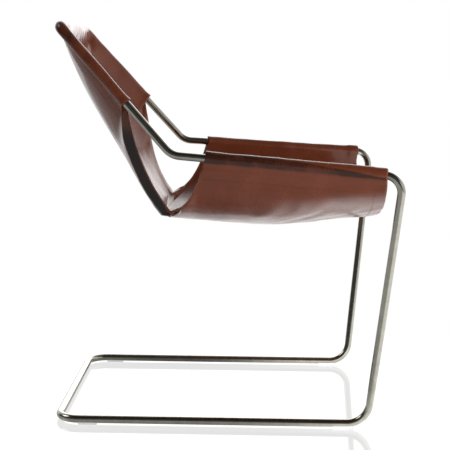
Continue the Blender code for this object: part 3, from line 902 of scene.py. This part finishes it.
def front_fold(hide, rows, arms):
    """The front edge, skived, turned in and back to make the hem."""
    columns = range(-ALL_COLUMNS, ALL_COLUMNS + 1)
    stop = WRAP_STEPS - FOLD_STOP
    before, edge = [
        arms["right"][row][stop:0:-1]
        + [rows[row][column] for column in columns]
        + arms["left"][row][1:stop + 1]
        for row in (-2, -1)]
    line = np.array([hide.points[index] for index in edge])
    ahead = line - np.array([hide.points[index] for index in before])
    ahead /= np.linalg.norm(ahead, axis=1)[:, None]
    inward = np.cross(ahead, np.gradient(line, axis=0))
    inward /= np.linalg.norm(inward, axis=1)[:, None]
    if inward[len(edge) // 2][2] < 0:
        inward = -inward
    half_turn = FOLD_STEP / 2
    grid = [edge]
    for angle in np.linspace(0, math.pi, FOLD_STEPS + 1)[1:]:
        spots = line + ahead * half_turn * math.sin(angle) + inward * half_turn * (1 - math.cos(angle))
        thickness = 1 - (1 - FOLD_SKIVE) * angle / math.pi
        grid.append([hide.add(spot, thickness) for spot in spots])
    for run in np.linspace(0, FRONT_HEM - FOLD_STEP, HEM_ROWS)[1:]:
        grid.append([hide.add(spot, FOLD_SKIVE) for spot in line - ahead * run + inward * FOLD_STEP])
    hide.strip(grid)


def ripple(point):
    """How far a point of the hide stands off its even shape: soft waves and creases."""
    x, y, z = point
    height = WAVE_HEIGHT * noise.noise(Vector(point) / WAVE_LENGTH)
    height += DIMPLE_HEIGHT * noise.noise(Vector(point) / DIMPLE_LENGTH)
    # Creases that climb forward on the lower sides, drawn anew on each side
    low_front = ease(*SIDE_CREASE_FRONT, x) * (1 - ease(*SIDE_CREASE_TOP, z))
    low_front *= ease(*SIDE_CREASE_OUT, abs(y))
    down = z + (SIDE_HALF_WIDTH - abs(y)) * SIDE_FALL
    run = x * math.cos(SIDE_CREASE_SLANT) + down * math.sin(SIDE_CREASE_SLANT)
    over = -x * math.sin(SIDE_CREASE_SLANT) + down * math.cos(SIDE_CREASE_SLANT)
    draw = SIDE_CREASE_DRAW + math.copysign(1, y)
    height += SIDE_CREASE_HEIGHT * low_front * noise.noise(
        Vector((run / SIDE_CREASE_LENGTH, over / SIDE_CREASE_WIDTH, draw)))
    # Creases across the hide where the back turns into the seat
    level_reach, upright_reach = SEAT_CREASE_REACH
    off_crease = ((x - CREASE[0]) / level_reach) ** 2 + ((z - CREASE[2]) / upright_reach) ** 2
    height += SEAT_CREASE_HEIGHT * math.exp(-off_crease) * noise.noise(
        Vector((y / SEAT_CREASE_LENGTH, (x - z) / SEAT_CREASE_WIDTH, SEAT_CREASE_DRAW)))
    # Drag lines below the top of the back
    height += DRAG_HEIGHT * ease(*DRAG_RISE, z) * noise.noise(
        Vector((y / DRAG_WIDTH, z / DRAG_LENGTH, DRAG_DRAW)))
    return height


def hide_shape(hide):
    """The hide's outer face with its ripples, and the place and direction of each of its points."""
    shape = bmesh.new()
    corners = [shape.verts.new(point) for point in hide.points]
    for face in hide.faces:
        shape.faces.new([corners[index] for index in face])
    bmesh.ops.recalc_face_normals(shape, faces=shape.faces)
    shape.normal_update()
    lowest = min(shape.faces, key=lambda face: face.calc_center_median().z)
    if lowest.normal.z > 0:
        bmesh.ops.reverse_faces(shape, faces=shape.faces)
        shape.normal_update()
    eased = [corners[index] for index in hide.eased]
    for _ in range(EASE_ROUNDS):
        bmesh.ops.smooth_vert(
            shape, verts=eased, factor=EASE_STRENGTH, use_axis_x=True, use_axis_y=True, use_axis_z=True)
    shape.normal_update()
    for corner in corners:
        corner.co += corner.normal * ripple(corner.co)
    shape.normal_update()
    return shape, [(np.array(corner.co), np.array(corner.normal)) for corner in corners]


def leather_sling(leather, edge, band_leather, thread):
    """The hide, cut in one piece and hung on the bar, its bands and its sewing."""
    hide = Hide()
    halves = {side: half_rows(side) for side in SIDES}
    rows = panel(hide, halves)
    back_wrap(hide, halves, rows)
    arms = {side: arm_wrap(hide, halves[side], rows, side) for side in SIDES}
    hem_row = rows[-1 - HEM_ROWS]
    hide.edge_lines["front_hem"] = [hem_row[column] for column in range(-ALL_COLUMNS, ALL_COLUMNS + 1)]
    front_fold(hide, rows, arms)
    shape, spots = hide_shape(hide)
    sling = new_piece("leather_sling", shape, leather, edge)
    skiving = sling.vertex_groups.new(name="skiving")
    for index, share in enumerate(hide.skived):
        skiving.add([index], share, "REPLACE")
    note_painted_shade(sling, hide.painted_shade)
    thicken(sling, HIDE, -1).vertex_group = skiving.name
    rub_edges(sling, HIDE_RUB)
    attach(sling, "upper")
    on_each_side = ("arm_sleeve", "arm_flap", "back_sleeve", "back_flap")
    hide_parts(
        "sling_panel", "top_pocket", "front_hem",
        *[f"{node}_{side}" for side in SIDES for node in on_each_side])
    bands = [notch_band(side, rows, spots, band_leather, edge) for side in SIDES]
    lines = {name: [spots[index] for index in line] for name, line in hide.edge_lines.items()}
    for name, pairs in hide.between.items():
        lines[name] = [np.mean([spots[index] for index in pair], axis=0) for pair in pairs]
    for name, line in hide.sewn.items():
        lines[name] = [(spot + out * ripple(spot), out) for spot, out in line]
    sewing = [stitching("stitches_" + name, line, thread) for name, line in lines.items()]
    for side in SIDES:
        sewing += band_stitching(side, rows, spots, thread)


def band_rows(side, rows, spots):
    """Places and directions on the lip's outer face, from crease to edge, narrower at the foot."""
    sign = SIDES[side]
    lip_columns = range(HALF_COLUMNS, ALL_COLUMNS + 1)
    made = []
    for row in range(1, FREE_BACK_ROWS + 1):
        line = [spots[rows[HELD_BACK_ROWS + row][sign * column]] for column in lip_columns]
        places, normals = np.array([spot for spot, _ in line]), np.array([out for _, out in line])
        taper = min(1, BAND_TIP_SHARE + (1 - BAND_TIP_SHARE) * (FREE_BACK_ROWS - row) / BAND_TAPER_ROWS)
        run = run_of(places)
        marks = run * taper
        leaning = np.stack([np.interp(marks, run, axis) for axis in normals.T], axis=-1)
        made.append(list(zip(along(places, marks), leaning)))
    return made


def notch_band(side, rows, spots, leather, edge):
    """The doubled band on the outside of a lip."""
    shape = bmesh.new()
    grid = [[shape.verts.new(spot + out * BAND_GAP) for spot, out in line]
            for line in band_rows(side, rows, spots)]
    for near, far in zip(grid, grid[1:]):
        for a, b, c, d in zip(near, near[1:], far[1:], far):
            shape.faces.new((a, b, c, d) if side == "left" else (d, c, b, a))
    band = new_piece("notch_band_" + side, shape, leather, edge)
    # Painted shade: the band goes from brown at its top to near black lower down
    band_shade = ease(BAND_SHADE_START, BAND_SHADE_FULL, np.linspace(0, 1, len(grid)))
    note_painted_shade(band, np.repeat(band_shade, len(grid[0])))
    thicken(band, BAND_PLY, 1)
    rub_edges(band, BAND_RUB)
    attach(band, "upper")
    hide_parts("notch_hem_" + side)
    return band


def stitching(name, line, thread):
    """A row of stitches along a line of places and outward directions."""
    places = np.array([place for place, _ in line])
    normals = np.array([normal for _, normal in line])
    run = run_of(places)
    shape = bmesh.new()
    for mark in np.arange(STITCH_PITCH, run[-1] - STITCH_PITCH / 2, STITCH_PITCH):
        ends = along(places, np.array([mark - STITCH_PITCH / 2, mark + STITCH_PITCH / 2]))
        ahead = Vector(unit(ends[1] - ends[0]))
        out = Vector([np.interp(mark, run, axis) for axis in normals.T])
        out = (out - ahead * out.dot(ahead)).normalized()
        turn = Matrix((ahead, out.cross(ahead), out)).transposed().to_4x4()
        size = Matrix.Diagonal((*[length / 2 for length in STITCH_SIZE], 1))
        bmesh.ops.create_uvsphere(
            shape, u_segments=STITCH_SEGMENTS, v_segments=STITCH_RINGS, radius=1,
            matrix=Matrix.Translation(ends.mean(axis=0)) @ turn @ size)
    item = new_piece(name, shape, thread)
    item.data.shade_smooth()
    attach(item, "upper")
    return item


def band_stitching(side, rows, spots, thread):
    """Stitches along both long edges of a band."""
    lines = {"crease": [], "edge": []}
    for row in band_rows(side, rows, spots)[1:-BAND_TAPER_ROWS]:
        places = np.array([spot + out * (BAND_GAP + BAND_PLY) for spot, out in row])
        width = run_of(places)[-1]
        for name, mark in (("crease", BAND_INSET), ("edge", width - BAND_INSET)):
            lines[name].append((along(places, np.array([mark]))[0], row[BAND_MIDDLE][1]))
    return [stitching(f"stitches_band_{name}_{side}", line, thread) for name, line in lines.items()]


# Studio

def camera():
    """A camera where the picture was taken from."""
    data = bpy.data.cameras.new("picture_camera")
    data.sensor_width = SENSOR
    data.lens = SENSOR * FOCAL_PIXELS / PICTURE_SIZE
    item = bpy.data.objects.new("picture_camera", data)
    bpy.context.scene.collection.objects.link(item)
    turn = Matrix.Rotation(-CAMERA_YAW, 4, "Z") @ Matrix.Rotation(math.pi / 2 + CAMERA_PITCH, 4, "X")
    item.matrix_world = Matrix.Translation(CAMERA_PLACE) @ turn @ Matrix.Rotation(CAMERA_ROLL, 4, "Z")
    bpy.context.scene.camera = item


def fade(tree, value, start, stop, first, last):
    """Ease from a first level at start to a last one at stop."""
    return add_node(tree, "ShaderNodeMapRange", {"interpolation_type": "SMOOTHSTEP"}, {
        "From Min": start, "From Max": stop, "To Min": first, "To Max": last}, {"Value": value}).outputs[0]


def combine(tree, operation, first, second):
    """Two levels added, multiplied or compared."""
    return add_node(tree, "ShaderNodeMath", {"operation": operation}, links={0: first, 1: second}).outputs[0]


def measure(tree, operation, vector, other):
    """A vector's dot product with another one, or its distance from it."""
    return add_node(tree, "ShaderNodeVectorMath", {"operation": operation}, {1: other}, {
        0: vector}).outputs["Value"]


def studio_world():
    """White backdrop behind the chair, and the dark room with a few glows that it mirrors."""
    world = bpy.data.worlds.new("white_studio")
    bpy.context.scene.world = world
    world.use_nodes = True
    tree = world.node_tree
    tree.nodes.clear()
    direction = add_node(tree, "ShaderNodeTexCoord").outputs["Generated"]
    height = add_node(tree, "ShaderNodeSeparateXYZ", links={0: direction}).outputs["Z"]
    backdrop = fade(tree, measure(tree, "DOT_PRODUCT", direction, BACKDROP), *BACKDROP_FADE)
    level = combine(tree, "MULTIPLY", backdrop, fade(tree, height, *CEILING_FADE))
    for towards, levels in (
            (BACK_GLOW, BACK_GLOW_FADE), (SIDE_GLOW, SIDE_GLOW_FADE), (LAMP_GLINT, LAMP_GLINT_FADE)):
        glow = fade(tree, measure(tree, "DOT_PRODUCT", direction, towards), *levels)
        level = combine(tree, "ADD", level, glow)
    room = add_node(tree, "ShaderNodeBackground", {}, {"Color": (1, 1, 1, 1)}, {"Strength": level})
    white = add_node(tree, "ShaderNodeBackground", {}, {"Color": (1, 1, 1, 1), "Strength": 1.0})
    rays = add_node(tree, "ShaderNodeLightPath").outputs
    shown = combine(tree, "MAXIMUM", rays["Is Camera Ray"], rays["Is Transmission Ray"])
    seen = add_node(tree, "ShaderNodeMixShader", links={0: shown, 1: room.outputs[0], 2: white.outputs[0]})
    add_node(tree, "ShaderNodeOutputWorld", links={"Surface": seen.outputs[0]})


def white_floor():
    """A white lacquered floor that fades into the background."""
    bpy.ops.object.select_all(action="DESELECT")
    bpy.ops.mesh.primitive_circle_add(vertices=FLOOR_SIDES, radius=FLOOR_RADIUS, fill_type="NGON")
    floor = bpy.context.object
    floor.name = "studio_floor"
    material, tree, shader = new_material("white_lacquered_floor", Roughness=0.6)
    shader.inputs["Base Color"].default_value = linear("#f6f6f4")
    rays = add_node(tree, "ShaderNodeLightPath").outputs
    place = add_node(tree, "ShaderNodeTexCoord").outputs["Object"]
    distance = measure(tree, "DISTANCE", place, (0, 0, 0))
    seen = combine(tree, "MAXIMUM", rays["Is Glossy Ray"], rays["Is Transmission Ray"])
    seen = combine(tree, "MAXIMUM", seen, rays["Is Camera Ray"])
    white_share = combine(tree, "MULTIPLY", seen, fade(tree, distance, *FLOOR_WHITE_FADE))
    # Mirrored in the chair, the floor is dark in the seat's shade, lit in front and bright in one patch
    mirrored = fade(tree, measure(tree, "DOT_PRODUCT", place, FLOOR_LIT), *FLOOR_LIT_FADE)
    shade = fade(tree, measure(tree, "DISTANCE", place, FLOOR_SHADE), *FLOOR_SHADE_FADE)
    patch = fade(tree, measure(tree, "DISTANCE", place, FLOOR_PATCH), *FLOOR_PATCH_FADE)
    mirrored = combine(tree, "ADD", combine(tree, "MULTIPLY", mirrored, shade), patch)
    level = add_node(tree, "ShaderNodeMix", {"data_type": "FLOAT"}, {"B": 1.0}, {
        "Factor": rays["Is Camera Ray"], "A": mirrored})
    white = add_node(tree, "ShaderNodeEmission", links={"Strength": level.outputs[0]})
    base = add_node(tree, "ShaderNodeMixShader", links={
        0: white_share, 1: shader.outputs[0], 2: white.outputs[0]})
    gloss = add_node(tree, "ShaderNodeBsdfGlossy", values={"Roughness": 0.06})
    lacquer = add_node(tree, "ShaderNodeMixShader", links={
        0: fade(tree, distance, *FLOOR_GLOSS_FADE), 1: base.outputs[0], 2: gloss.outputs[0]})
    tree.links.new(lacquer.outputs[0], tree.nodes["Material Output"].inputs["Surface"])
    floor.data.materials.append(material)


def soft_light(name, place, size, watts):
    """A square soft box aimed at the sling. The chair doesn't mirror it."""
    data = bpy.data.lights.new(name, "AREA")
    data.size = size
    data.energy = watts
    item = bpy.data.objects.new(name, data)
    bpy.context.scene.collection.objects.link(item)
    item.location = place
    item.rotation_euler = (Vector(LIGHT_AIM) - Vector(place)).to_track_quat("-Z", "Y").to_euler()
    item.visible_glossy = False
    item.visible_camera = False


def main():
    """Dress the chair and set the studio round it."""
    camera()
    steel_bar(polished_steel())
    # Each leather's first colour is where painted shade takes it; the band is brown, painted to near black
    # lower down
    leather = glazed_leather("glazed_saddle_leather", "#371c12", "#683421", "#6e3723", "#743c27", 0.24)
    band_leather = glazed_leather("band_leather_painted_shade", "#0f0b09", "#26160f", "#573222", "#633a28", 0.32)
    leather_sling(leather, cut_edge(), band_leather, waxed_thread())
    vinyl = clear_vinyl()
    for name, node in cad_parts.items():
        if name.startswith("glide_"):
            node.data.materials.clear()
            node.data.materials.append(vinyl)
    studio_world()
    white_floor()
    for name, (place, size, watts) in SOFT_BOXES.items():
        soft_light(name, place, size, watts)
    bpy.context.scene.view_settings.view_transform = "Standard"


main()
